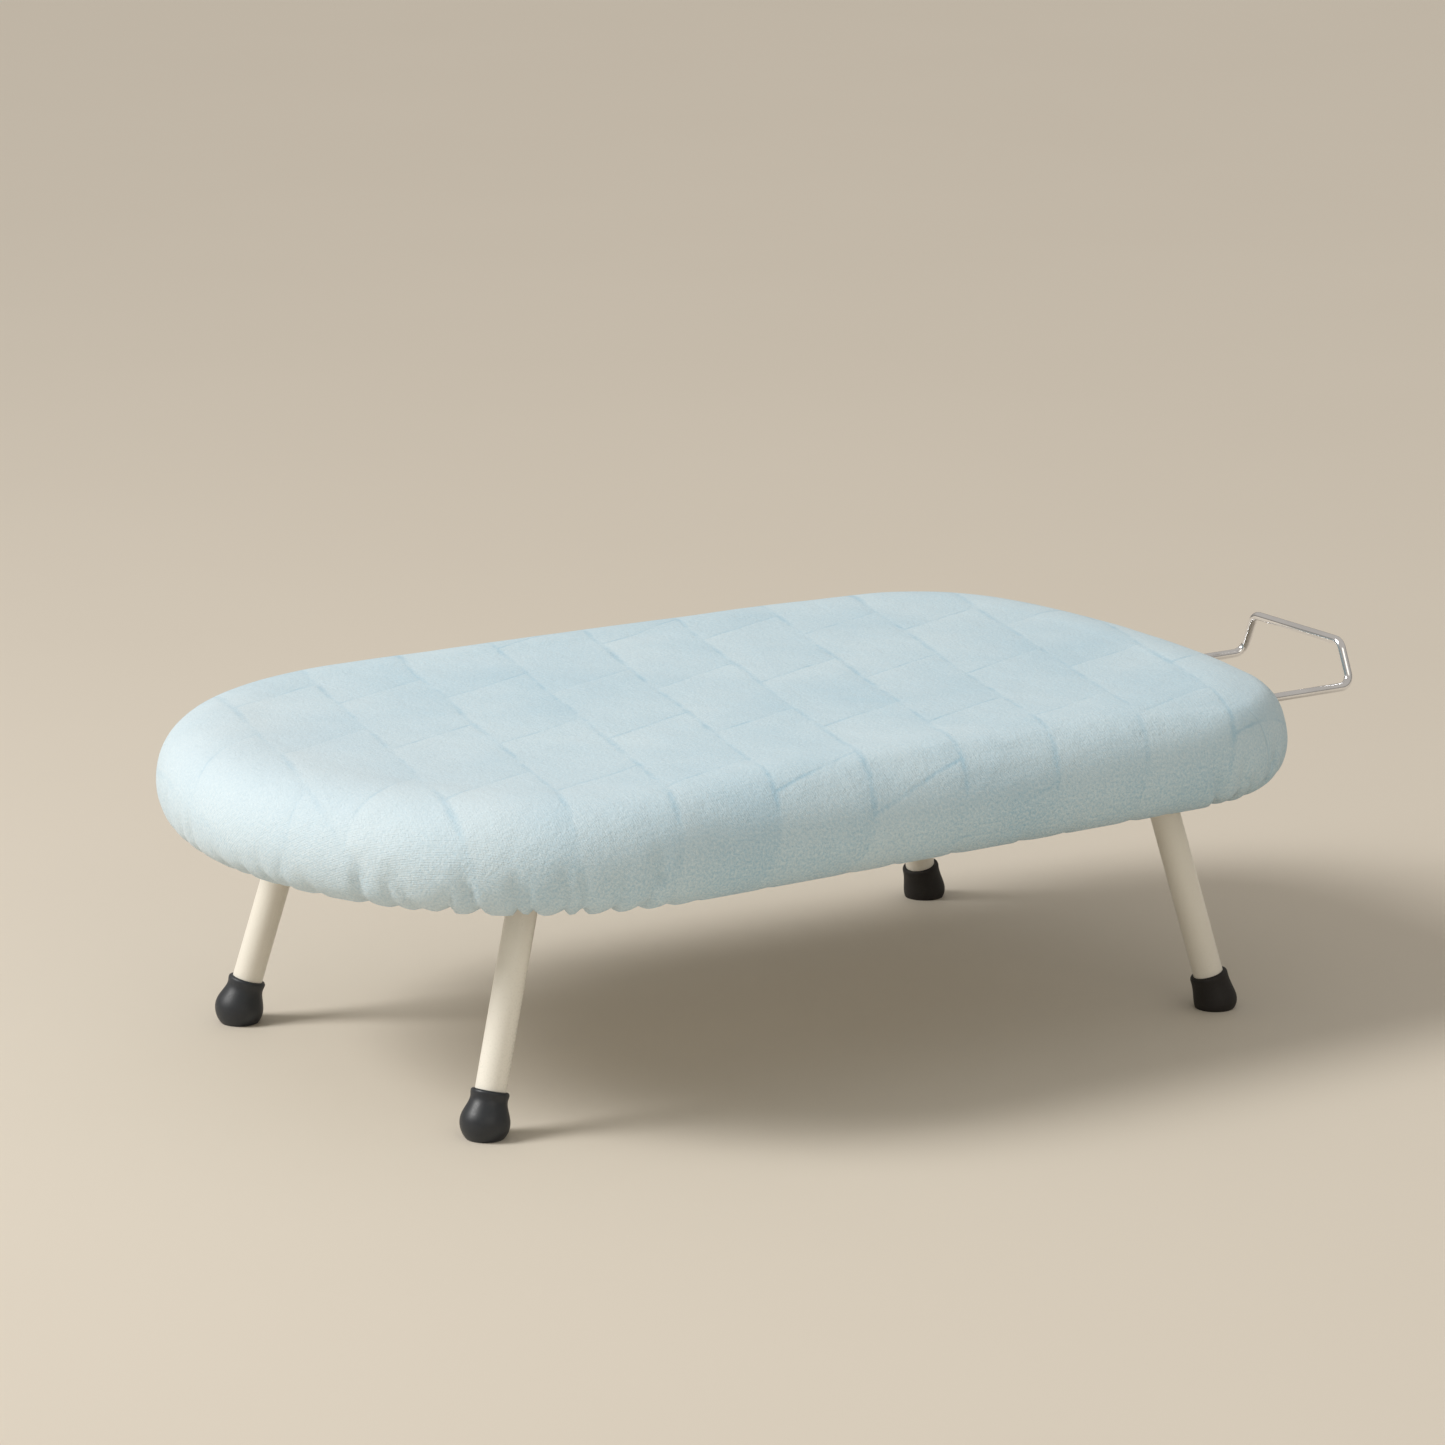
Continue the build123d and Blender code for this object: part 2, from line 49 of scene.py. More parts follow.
# ------------------------------------------------------------------ sizes taken from the frame
COVER_LOW, COVER_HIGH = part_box("cover")
RIM_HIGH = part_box("rim_band")[1]
BOARD_X = (COVER_LOW.x + COVER_HIGH.x) / 2
HALF_LENGTH = (COVER_HIGH.x - COVER_LOW.x) / 2
TOP_Z = COVER_HIGH.z
HEM_Z = COVER_LOW.z
RIM_INSET = COVER_HIGH.x - RIM_HIGH.x
PANEL_TOP_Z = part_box("top_panel")[1].z

# Sizes that the frame's boxes don't give, as in the CAD.
REST_END_HALF_WIDTH = 182 * MM
FAR_END_HALF_WIDTH = 193 * MM
REST_END_RADIUS = 496 * MM
REST_CORNER_RADIUS = 98.5 * MM
FAR_END_RADIUS = 223 * MM
FAR_CORNER_RADIUS = 156 * MM
BUSH_SLEEVE_RADIUS = 5.1 * MM


# ------------------------------------------------------------------ outline of the board
RING_STEPS = 160
SIDE_MARGIN = 0.002


def end_circles(half_width, end_radius, corner_radius):
    """The x of an end arc's centre, and the centre of the corner arc beside it, from the board's middle."""
    end_x = HALF_LENGTH - end_radius
    rise = half_width - corner_radius
    corner_x = end_x + math.sqrt((end_radius - corner_radius) ** 2 - rise**2)
    return end_x, corner_x, rise


def outline_pieces():
    """The outline as arcs (centre x, y, radius, first and last angle), going round from the rest's end."""
    near_x, near_cx, near_cy = end_circles(REST_END_HALF_WIDTH, REST_END_RADIUS, REST_CORNER_RADIUS)
    far_x, far_cx, far_cy = end_circles(FAR_END_HALF_WIDTH, FAR_END_RADIUS, FAR_CORNER_RADIUS)
    slope = math.atan2(near_cy - far_cy, near_cx + far_cx)
    between_corners = math.hypot(near_cx + far_cx, near_cy - far_cy)
    side = slope + math.acos((FAR_CORNER_RADIUS - REST_CORNER_RADIUS) / between_corners)
    near = math.atan2(near_cy, near_cx - near_x)
    far = math.pi - math.atan2(far_cy, far_cx - far_x)
    return [
        (near_x, 0, REST_END_RADIUS, 0, near),
        (near_cx, near_cy, REST_CORNER_RADIUS, near, side),
        (-far_cx, far_cy, FAR_CORNER_RADIUS, side, far),
        (-far_x, 0, FAR_END_RADIUS, far, math.pi),
    ]


def arc_point(cx, cy, radius, angle):
    """A point on a corner's circle."""
    return np.array([cx + radius * math.cos(angle), cy + radius * math.sin(angle)])


def outline_ring():
    """The outline in fine steps as rows of (x, y, normal's angle, bend), and the distance along it."""
    half = []
    pieces = outline_pieces()
    for index, (cx, cy, radius, first, last) in enumerate(pieces):
        for angle in np.linspace(first, last, RING_STEPS):
            half.append((*arc_point(cx, cy, radius, angle), angle, 1 / radius))
        if index == 1:  # the straight side runs from this arc to the next
            next_cx, next_cy, next_radius, side, _ = pieces[2]
            start = arc_point(cx, cy, radius, last)
            run = arc_point(next_cx, next_cy, next_radius, side) - start
            for share in np.linspace(SIDE_MARGIN, 1 - SIDE_MARGIN, RING_STEPS):
                half.append((*(start + run * share), side, 0.0))
    half = np.array(half)
    ring = np.concatenate([half, half[::-1] * [1, -1, -1, 1]])
    along = np.concatenate([[0], np.cumsum(np.hypot(*np.diff(ring[:, :2], axis=0).T))])
    return ring, along


def outline_columns(count):
    """Evenly spaced points on the outline, with outward normals, bend (1 / radius), distance and length."""
    ring, along = outline_ring()
    wanted = np.arange(count) * along[-1] / count
    x, y, bend = (np.interp(wanted, along, ring[:, k]) for k in (0, 1, 3))
    angle = np.interp(wanted, along, np.unwrap(ring[:, 2]))
    point = np.stack([x + BOARD_X, y], 1)
    normal = np.stack([np.cos(angle), np.sin(angle)], 1)
    return point, normal, bend, wanted, along[-1]


# ------------------------------------------------------------------ small helpers for meshes
CURVE_STEPS = 1500


def smooth_mesh(name, points, faces):
    """A new smooth-shaded mesh object."""
    mesh = bpy.data.meshes.new(name)
    mesh.from_pydata([tuple(p) for p in points], [], faces)
    mesh.polygons.foreach_set("use_smooth", [True] * len(mesh.polygons))
    mesh.update()
    piece = bpy.data.objects.new(name, mesh)
    bpy.context.scene.collection.objects.link(piece)
    return piece


def ring_faces(rows, columns, closed_rows=False):
    """Quads between consecutive rings of points."""
    last = rows if closed_rows else rows - 1
    faces = []
    for row in range(last):
        below = (row + 1) % rows
        for column in range(columns):
            beside = (column + 1) % columns
            faces.append((row * columns + column, below * columns + column, below * columns + beside,
                          row * columns + beside))
    return faces


def smooth_step(low, high, value):
    """0 below low, 1 above high, and a smooth rise between."""
    share = np.clip((value - low) / (high - low), 0, 1)
    return share * share * (3 - 2 * share)


def through(points, count):
    """Evenly spaced points on a smooth curve through the given ones."""
    points = np.array(points, float)
    knots = np.concatenate([[0], np.cumsum(np.hypot(*np.diff(points, axis=0).T))])
    fine_at = np.linspace(0, knots[-1], CURVE_STEPS)
    slopes = np.gradient(points, knots, axis=0)
    index = np.clip(np.searchsorted(knots, fine_at, side="right") - 1, 0, len(knots) - 2)
    width = (knots[index + 1] - knots[index])[:, None]
    share = ((fine_at - knots[index])[:, None]) / width
    a, b = points[index], points[index + 1]
    ta, tb = slopes[index] * width, slopes[index + 1] * width
    fine = ((2 * share**3 - 3 * share**2 + 1) * a + (share**3 - 2 * share**2 + share) * ta
            + (3 * share**2 - 2 * share**3) * b + (share**3 - share**2) * tb)
    along = np.concatenate([[0], np.cumsum(np.hypot(*np.diff(fine, axis=0).T))])
    wanted = np.linspace(0, along[-1], count)
    return np.stack([np.interp(wanted, along, fine[:, k]) for k in (0, 1)], 1), wanted


# ------------------------------------------------------------------ the cover
# Its band is the part that bends over the edge and under to the hem; rings of the flat top lie inside it.
COLUMNS = 600
BAND_ROWS = 56
TOP_RINGS = 22
BAND_TOP_INSET = 62 * MM
CLOTH_THICKNESS = 0.8 * MM

# The settling of the band as cloth, on every second column.
HELD_TOP_ROWS = 4
HELD_HEM_ROWS = 12
SETTLE_FRAMES = 12
SETTLE_MOST = 1.2 * MM

# The edge is round at the far end, and creased from here towards the rest's end.
CREASE_FROM = -100 * MM
CREASE_TO = 100 * MM

# The hem's gathers: grooves that are far apart and shallow on the sides, close and deep at the corners.
GATHER_SEED = 7
FULL_BEND = 6.2  # 1 / m, from which on a corner is gathered fully
SPACING_ON_SIDES = 36 * MM
SPACING_AT_CORNERS = 13.5 * MM
DEPTH_ON_SIDES = 1.2 * MM
DEPTH_AT_CORNERS = 5.6 * MM
CLIMB_LEAST = 20 * MM
CLIMB_MOST = 42 * MM
GROOVE_REACH = 0.62  # of the gap to the next groove
STEEP_WIDTH = 3.4 * MM
GENTLE_WIDTH = 11 * MM
GROOVE_SHARPNESS = 1.8
BOTTOM_INSET = 13 * MM
LOWER_ROWS = slice(30, 46)
DRAWN_UNDER = 0.35  # of a groove's depth, where the cloth faces down
LIFT_SHARE = 0.75

# The soft foam leaves faint hollows in the top.
HOLLOW_DEPTH = 0.9 * MM
BROAD_HOLLOWS = 17
SMALL_HOLLOWS = 45

# The elastic tape in the hem.
ELASTIC_COLUMNS = 1200
ELASTIC_HALF_WIDTH = 2.5 * MM
RIPPLE_PITCH = 6.4 * MM
RIPPLE = 0.2 * MM

# The foam stays this far below the cloth: at the hem, at the side and on top.
FOAM_GAPS = (8 * MM, 5 * MM, 1.3 * MM)
FOAM_SIDE_DEPTH = 24 * MM
FOAM_ROWS = BAND_ROWS - 18
FOAM_PLAY = 0.1 * MM
FOAM_WAY_MARGIN = 0.5 * MM

# The cover's section as inset from the outline and depth below the top, in millimetres.
ROUND_SECTION = [(62, 0), (48, 0), (36, 0.3), (24, 2.4), (13, 7.6), (5, 16), (0.8, 27), (0.8, 38), (5, 48),
                 (13, 54.2), (22, 56.2), (31, 56.5), (35.4, 55.6), (35.6, 53.4), (33, 52.6), (29, 52.8)]
CREASED_SECTION = [(62, 0), (48, 0.1), (36, 0.7), (24, 3.0), (12.2, 7.0), (6.2, 13), (1.8, 24), (0.8, 37)]
CREASED_SECTION += ROUND_SECTION[8:]


def section(shape):
    """Rows of (inset, height) in metres for one of the sections, and the distance along it."""
    points, along = through(np.array(shape) * MM, BAND_ROWS)
    return np.stack([points[:, 0], TOP_Z - points[:, 1]], 1), along


def fold_places(total, bend, along):
    """The gathers' grooves: place round the hem, depth, climb, lean, and the steep flank's sign."""
    rng = random.Random(GATHER_SEED)
    places, at = [], 0.0
    while at < total:
        tight = min(1, float(np.interp(at, along, bend)) / FULL_BEND)
        usual_spacing = SPACING_ON_SIDES + (SPACING_AT_CORNERS - SPACING_ON_SIDES) * tight
        spacing = usual_spacing * rng.uniform(0.55, 1.5)
        usual_depth = DEPTH_ON_SIDES + (DEPTH_AT_CORNERS - DEPTH_ON_SIDES) * tight**1.4
        depth = usual_depth * rng.uniform(0.45, 1.35)
        climb = rng.uniform(CLIMB_LEAST, CLIMB_MOST) * (0.7 + 0.35 * tight)
        lean = rng.uniform(-0.35, 0.35)
        steep = rng.choice((-1, 1))
        places.append((at, depth, climb, lean, steep))
        at += spacing
    return places


def gathers(along, total, bend, row_along, bottom_along):
    """How far each point of the band is drawn in by the hem's gathers (rows x columns)."""
    drawn = np.zeros((BAND_ROWS, COLUMNS))
    places = fold_places(total, bend, along)
    below = row_along[:, None] - bottom_along
    for index, (at, depth, climb, lean, steep) in enumerate(places):
        gap_before = (at - places[index - 1][0]) % total
        gap_after = (places[(index + 1) % len(places)][0] - at) % total
        away = (along[None, :] - at + total / 2 - lean * np.minimum(below, 0)) % total - total / 2
        reach = np.where(away < 0, gap_before, gap_after) * GROOVE_REACH
        width = np.where(away * steep < 0, STEEP_WIDTH, GENTLE_WIDTH)
        share = np.clip(np.abs(away) / np.minimum(reach, width), 0, 1)
        groove = (1 - share) ** GROOVE_SHARPNESS
        drawn += depth * groove * smooth_step(-climb, -0.15 * climb, below)
    return drawn


def band_points(point, normal, bend, along, total):
    """The cover's edge, side and hem before the cloth settles (rows x columns x 3), and the distance down."""
    round_rows, row_along = section(ROUND_SECTION)
    creased_rows, _ = section(CREASED_SECTION)
    creased = smooth_step(CREASE_FROM, CREASE_TO, point[:, 0])
    inset = round_rows[:, :1] * (1 - creased) + creased_rows[:, :1] * creased
    height = round_rows[:, 1:] * (1 - creased) + creased_rows[:, 1:] * creased
    bottom_along = float(np.interp(BOTTOM_INSET, round_rows[LOWER_ROWS, 0], row_along[LOWER_ROWS]))
    drawn = gathers(along, total, bend, row_along, bottom_along)
    # The gathers pull the side in and lift the hem between them.
    facing_out = smooth_step(HEM_Z + 2 * MM, HEM_Z + 22 * MM, height)
    inset = inset + drawn * (DRAWN_UNDER + (1 - DRAWN_UNDER) * facing_out)
    under = smooth_step(bottom_along - 14 * MM, bottom_along + 4 * MM, row_along)[:, None]
    height = height + drawn * LIFT_SHARE * under
    x = point[None, :, 0] - normal[None, :, 0] * inset
    y = point[None, :, 1] - normal[None, :, 1] * inset
    return np.stack([x, y, height], 2), row_along


def grid_object(name, grid):
    """A mesh object of a closed band of points (rows x columns x 3)."""
    rows, columns = grid.shape[:2]
    return smooth_mesh(name, grid.reshape(-1, 3), ring_faces(rows, columns))


def settle(grid):
    """Let the band settle as cloth, puffed out a little, with its inner rows and its hem held."""
    coarse = grid[:, ::2]
    rows, columns = coarse.shape[:2]
    cloth = grid_object("cover_band", coarse)
    held = cloth.vertex_groups.new(name="held")
    for row in range(rows):
        members = list(range(row * columns, (row + 1) * columns))
        if row < HELD_TOP_ROWS or row >= rows - HELD_HEM_ROWS:
            held.add(members, 1.0, "REPLACE")
    made = cloth.modifiers.new("cloth", "CLOTH")
    made.settings.quality = 5
    made.settings.mass = 0.2
    made.settings.tension_stiffness = 20
    made.settings.compression_stiffness = 20
    made.settings.shear_stiffness = 8
    made.settings.bending_stiffness = 0.6
    made.settings.air_damping = 2
    made.settings.use_pressure = True
    made.settings.uniform_pressure_force = 2.0
    made.settings.vertex_group_mass = "held"
    made.settings.effector_weights.gravity = 0
    made.collision_settings.use_collision = False
    scene = bpy.context.scene
    scene.frame_start = 1
    scene.frame_end = SETTLE_FRAMES
    made.point_cache.frame_start = 1
    made.point_cache.frame_end = SETTLE_FRAMES
    for step in range(1, SETTLE_FRAMES + 1):
        scene.frame_set(step)
    graph = bpy.context.evaluated_depsgraph_get()
    settled = cloth.evaluated_get(graph).to_mesh()
    found = np.zeros(len(settled.vertices) * 3)
    settled.vertices.foreach_get("co", found)
    move = found.reshape(coarse.shape) - coarse
    scene.frame_set(1)
    bpy.data.objects.remove(cloth)
    length = np.linalg.norm(move, axis=2, keepdims=True)
    move *= np.minimum(1, SETTLE_MOST / np.maximum(length, 1e-9))
    fine = np.empty_like(grid)
    fine[:, ::2] = move
    fine[:, 1::2] = (move + np.roll(move, -1, axis=1)) / 2
    return grid + fine


def add_uv(mesh, name, values):
    """A UV map from one pair of numbers per vertex."""
    layer = mesh.uv_layers.new(name=name)
    index = np.zeros(len(mesh.loops), int)
    mesh.loops.foreach_get("vertex_index", index)
    layer.data.foreach_set("uv", np.asarray(values)[index].astype(np.float32).ravel())


def with_bush_ways(points, faces, radius):
    """Round openings for the sleeves of the rest's two bushes: the points inside move out to their edges."""
    points = np.array([tuple(p) for p in points], float)
    for low, high in (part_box("back_rest_bush"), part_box("front_rest_bush")):
        middle = np.array([(low.y + high.y) / 2, (low.z + high.z) / 2])
        away = points[:, 1:] - middle
        distance = np.linalg.norm(away, axis=1)
        inside = (distance < radius) & (points[:, 0] > BOARD_X)
        faces = [face for face in faces if not all(inside[index] for index in face)]
        push = radius / np.maximum(distance[inside], 1e-6)
        points[inside, 1:] = middle + away[inside] * push[:, None]
    return points, faces


def pad_section():
    """The foam's section as (inset, height): under the cloth, then back up the rim and over the panel."""
    rows, _ = section(ROUND_SECTION)
    outer = rows[:FOAM_ROWS]
    heights = [HEM_Z, TOP_Z - FOAM_SIDE_DEPTH, TOP_Z]
    rings = []
    for index, (inset, height) in enumerate(outer):
        gap = float(np.interp(height, heights, FOAM_GAPS))
        run = outer[min(index + 1, FOAM_ROWS - 1)] - outer[max(index - 1, 0)]
        out = np.array([run[1], -run[0]]) / np.hypot(*run)
        rings.append((inset - out[0] * gap, height - out[1] * gap))
    low = rings[-1][1]
    inner = RIM_INSET - FOAM_PLAY
    floor = PANEL_TOP_Z + FOAM_PLAY
    rings = [ring for ring in rings if ring[0] < inner or ring[1] > PANEL_TOP_Z]
    rings += [(inner, low), (inner, (low + PANEL_TOP_Z) / 2), (inner, floor), (BAND_TOP_INSET, floor)]
    return rings


def make_pad(point, normal):
    """The foam under the cover: its outside follows the cover, its inside sits on the panel and the rim."""
    rings = pad_section()
    points = []
    for inset, height in rings:
        for p, n in zip(point, normal):
            points.append((p[0] - n[0] * inset, p[1] - n[1] * inset, height))
    columns = len(point)
    faces = ring_faces(len(rings), columns)
    last = (len(rings) - 1) * columns
    faces.append(list(range(columns)))
    faces.append([last + column for column in range(columns - 1, -1, -1)])
    return smooth_mesh("foam", *with_bush_ways(points, faces, BUSH_SLEEVE_RADIUS + FOAM_WAY_MARGIN))


def add_hollows(grid):
    """Lower and raise the top a little, as soft foam does; the side stays as it is."""
    for row in grid:
        for spot in row:
            x, y, z = spot
            on_top = smooth_step(HEM_Z + 20 * MM, TOP_Z - 6 * MM, z)
            broad = noise.noise(Vector((x * BROAD_HOLLOWS, y * BROAD_HOLLOWS, 3.1)))
            small = noise.noise(Vector((x * SMALL_HOLLOWS, y * SMALL_HOLLOWS, 8.4)))
            spot[2] += (broad * 0.5 + small * 0.18) * HOLLOW_DEPTH * on_top


def add_cover_maps(cover, grid, point, normal, along, row_along, centre):
    """Two UV maps: where each point lay when the cloth was flat, and its place along and over the edge."""
    start = point - normal * BAND_TOP_INSET
    flat_band = start[None] + normal[None] * row_along[:, None, None]
    flat = np.concatenate([grid[:TOP_RINGS, :, :2], flat_band]).reshape(-1, 2)
    add_uv(cover.data, "cloth", np.concatenate([flat, [centre[:2]]]))
    over_edge = np.concatenate([np.full(TOP_RINGS, -0.1), row_along])
    edge = np.stack(np.broadcast_arrays(along[None, :], over_edge[:, None]), 2).reshape(-1, 2)
    add_uv(cover.data, "edge", np.concatenate([edge, [[0, -0.1]]]))


def make_cover():
    """The cotton cover, drawn in under the board by its elastic hem, and the foam below it."""
    point, normal, bend, along, total = outline_columns(COLUMNS)
    band, row_along = band_points(point, normal, bend, along, total)
    pad = make_pad(point[::2], normal[::2])
    band = settle(band)
    centre = np.array([BOARD_X, 0, TOP_Z])
    rings = [centre + (band[0] - centre) * (1 - step / (TOP_RINGS + 1)) for step in range(TOP_RINGS, 0, -1)]
    grid = np.concatenate([np.array(rings), band])
    add_hollows(grid)
    points = np.concatenate([grid.reshape(-1, 3), [centre]])
    faces = ring_faces(grid.shape[0], COLUMNS)
    middle = len(points) - 1
    faces += [(middle, column, (column + 1) % COLUMNS) for column in range(COLUMNS)]
    cover = smooth_mesh("cover_cloth", *with_bush_ways(points, faces, BUSH_SLEEVE_RADIUS))
    add_cover_maps(cover, grid, point, normal, along, row_along, centre)
    thick = cover.modifiers.new("thickness", "SOLIDIFY")
    thick.thickness = CLOTH_THICKNESS
    thick.offset = -1
    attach(cover, "board")
    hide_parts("cover")
    # The flat cloth is an oval, which fills 0.86 of its rectangle.
    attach(pad, "board")
    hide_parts("foam_pad")
    return cover, pad


def make_elastic():
    """The flat elastic inside the hem, gathered into small waves."""
    point, normal, _, along, _ = outline_columns(ELASTIC_COLUMNS)
    low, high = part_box("hem_elastic")
    middle = COVER_HIGH.x - high.x + ELASTIC_HALF_WIDTH
    ripple = np.sin(along * math.tau / RIPPLE_PITCH) * RIPPLE
    rows = []
    bottom, top = low.z + RIPPLE, high.z - RIPPLE
    for side, height in ((-1, bottom), (1, bottom), (1, top), (-1, top)):
        flat = point - normal * (middle - side * ELASTIC_HALF_WIDTH)
        rows.append(np.stack([flat[:, 0], flat[:, 1], height + ripple], 1))
    faces = ring_faces(len(rows), ELASTIC_COLUMNS, closed_rows=True)
    elastic = smooth_mesh("elastic_band", np.concatenate(rows), faces)
    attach(elastic, "board")
    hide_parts("hem_elastic")
    return elastic


# ------------------------------------------------------------------ materials
class Look:
    """A node material, built from short calls."""

    def __init__(self, name, colour, roughness=0.5, metallic=0.0, **extra):
        self.material = bpy.data.materials.new(name)
        self.material.use_nodes = True
        self.tree = self.material.node_tree
        self.shader = self.tree.nodes["Principled BSDF"]
        self.shader.inputs["Base Color"].default_value = (*colour, 1)
        self.shader.inputs["Roughness"].default_value = roughness
        self.shader.inputs["Metallic"].default_value = metallic
        for socket, value in extra.items():
            self.shader.inputs[socket.replace("_", " ")].default_value = value

    def node(self, kind, inputs=None, **settings):
        made = self.tree.nodes.new(kind)
        for key, value in settings.items():
            setattr(made, key, value)
        for key, value in (inputs or {}).items():
            if isinstance(value, bpy.types.NodeSocket):
                self.tree.links.new(value, made.inputs[key])
            else:
                made.inputs[key].default_value = value
        return made

    def math(self, operation, a, b=0.0, c=0.0, clamp=False):
        made = self.node("ShaderNodeMath", {0: a, 1: b, 2: c}, operation=operation, use_clamp=clamp)
        return made.outputs[0]

    def place(self):
        return self.node("ShaderNodeTexCoord").outputs["Object"]

    def uv(self, name):
        return self.node("ShaderNodeUVMap", uv_map=name).outputs["UV"]

    def noise(self, where, scale, detail=3.0, roughness=0.5):
        inputs = {"Vector": where, "Scale": scale, "Detail": detail, "Roughness": roughness}
        return self.node("ShaderNodeTexNoise", inputs).outputs["Fac"]

    def spread(self, value, low, high, to_low=0.0, to_high=1.0):
        inputs = {0: value, 1: low, 2: high, 3: to_low, 4: to_high}
        return self.node("ShaderNodeMapRange", inputs, clamp=True).outputs[0]

    def mix(self, share, first, second):
        made = self.node("ShaderNodeMix", {"Factor": share}, data_type="RGBA")
        for key, value in ((6, first), (7, second)):
            if isinstance(value, bpy.types.NodeSocket):
                self.tree.links.new(value, made.inputs[key])
            else:
                made.inputs[key].default_value = (*value, 1)
        return made.outputs[2]

    def set(self, socket, value):
        self.tree.links.new(value, self.shader.inputs[socket])

    def bump(self, height, distance, strength=1.0):
        made = self.node("ShaderNodeBump", {"Height": height, "Distance": distance, "Strength": strength})
        self.set("Normal", made.outputs["Normal"])


def apart(look, vector):
    """The first two parts of a vector."""
    made = look.node("ShaderNodeSeparateXYZ", {0: vector})
    return made.outputs[0], made.outputs[1]


COTTON_LIGHT = (0.64, 0.785, 0.862)
COTTON_DEEP = (0.32, 0.55, 0.705)
STITCH_WHITE = (0.82, 0.87, 0.88)

# The print fades towards the far end, over these distances from the board's middle.
COTTON_FADED = (0.69, 0.765, 0.81)
FADE_FROM = 290 * MM
FADE_TO = 120 * MM
FADE_MOST = 0.45

# The print is a leaning lattice: long lines across the board, and short strokes between each pair.
LONG_LINE_PITCH = 58 * MM
LONG_LINE_LEAN = math.tan(math.radians(16))
LONG_LINE_START = -26.5 * MM
LONG_LINE_STRENGTH = 0.62
STROKE_PITCH = 89 * MM
STROKE_LEAN = math.tan(math.radians(21))
STROKE_STEP = 40.2 * MM
STROKE_START = 30.2 * MM
STROKE_STRENGTH = 0.66
PRINT_WOBBLE = 7 * MM

# Stitches and seams, as distances over the edge and round the outline from the tip of the rest's end.
HEM_STITCH_AT = 136 * MM
STITCH_PITCH = 3.2 * MM
SEAM_AT = 197 * MM
SEAM_TOP = 42 * MM
SEAM_LEAN = 0.1

THREAD_PITCH = 1.1 * MM
RIB_PITCH = 1.7 * MM


def pitch_cell(look, value, start, pitch):
    """Which pitch a value lies in, where it is within it (0 to 1), and its distance from the nearer end."""
    value = look.math("DIVIDE", look.math("SUBTRACT", value, start), pitch)
    cell = look.math("FLOOR", value)
    within = look.math("SUBTRACT", value, cell)
    nearer = look.math("MINIMUM", within, look.math("SUBTRACT", 1.0, within))
    return cell, within, look.math("MULTIPLY", nearer, pitch)


def cotton_print(look, cloth, x, y):
    """The lattice's lines, and the wash from light to deep in each of its cells."""
    wobble = look.noise(cloth, 14, 2)
    shifted = look.math("MULTIPLY_ADD", wobble, PRINT_WOBBLE, -PRINT_WOBBLE / 2)
    across = look.math("SUBTRACT", look.math("ADD", x, shifted), look.math("MULTIPLY", y, LONG_LINE_LEAN))
    column, within, to_line = pitch_cell(look, across, LONG_LINE_START, LONG_LINE_PITCH)
    long_line = look.spread(to_line, 0.4 * MM, 3.8 * MM, LONG_LINE_STRENGTH, 0.0)
    # The strokes are one step lower in each column.
    climb = look.math("SUBTRACT", look.math("ADD", y, shifted), look.math("MULTIPLY", x, STROKE_LEAN))
    climb = look.math("ADD", climb, look.math("MULTIPLY", column, STROKE_STEP))
    row, up, to_stroke = pitch_cell(look, climb, STROKE_START, STROKE_PITCH)
    stroke = look.spread(to_stroke, 0.3 * MM, 2.2 * MM, STROKE_STRENGTH, 0.0)
    # Their strength comes and goes.
    patchy = look.spread(look.noise(cloth, 38, 4, 0.65), 0.36, 0.66, 0.25, 1.0)
    lines = look.math("MULTIPLY", look.math("MAXIMUM", long_line, stroke), patchy)
    # Each cell is washed, and the whole print is a little cloudy.
    cell = look.node("ShaderNodeCombineXYZ", {0: column, 1: row}).outputs[0]
    chance = look.node("ShaderNodeTexWhiteNoise", {0: cell}, noise_dimensions="2D").outputs["Value"]
    slope = look.math("SUBTRACT", within, up)
    wash = look.math("MULTIPLY", slope, look.math("MULTIPLY_ADD", chance, 0.5, 0.1))
    cloud = look.spread(look.noise(cloth, 9, 4, 0.6), 0.3, 0.7, 0.0, 0.34)
    return lines, look.math("ADD", look.math("MULTIPLY", wash, 0.26), cloud)


def hem_stitches(look, s, t):
    """One row of stitches along the hem."""
    off_row = look.math("ABSOLUTE", look.math("SUBTRACT", t, HEM_STITCH_AT))
    row = look.spread(off_row, 0.25 * MM, 0.45 * MM, 1.0, 0.0)
    within = look.math("FRACT", look.math("DIVIDE", s, STITCH_PITCH))
    dash = look.spread(look.math("ABSOLUTE", look.math("SUBTRACT", within, 0.5)), 0.30, 0.38, 1.0, 0.0)
    return look.math("MULTIPLY", row, dash)


def corner_seams(look, s, t):
    """One seam down each rounded corner of the rest's end."""
    outline_length = float(outline_ring()[1][-1])
    from_tip = look.math("MINIMUM", s, look.math("SUBTRACT", outline_length, s))
    seam_place = look.math("MULTIPLY_ADD", t, -SEAM_LEAN, SEAM_AT + SEAM_LEAN * SEAM_TOP)
    off_seam = look.math("ABSOLUTE", look.math("SUBTRACT", from_tip, seam_place))
    seam = look.spread(off_seam, 0.3 * MM, 1.5 * MM, 1.0, 0.0)
    return look.math("MULTIPLY", seam, look.spread(t, SEAM_TOP, SEAM_TOP + 16 * MM, 0.0, 1.0))


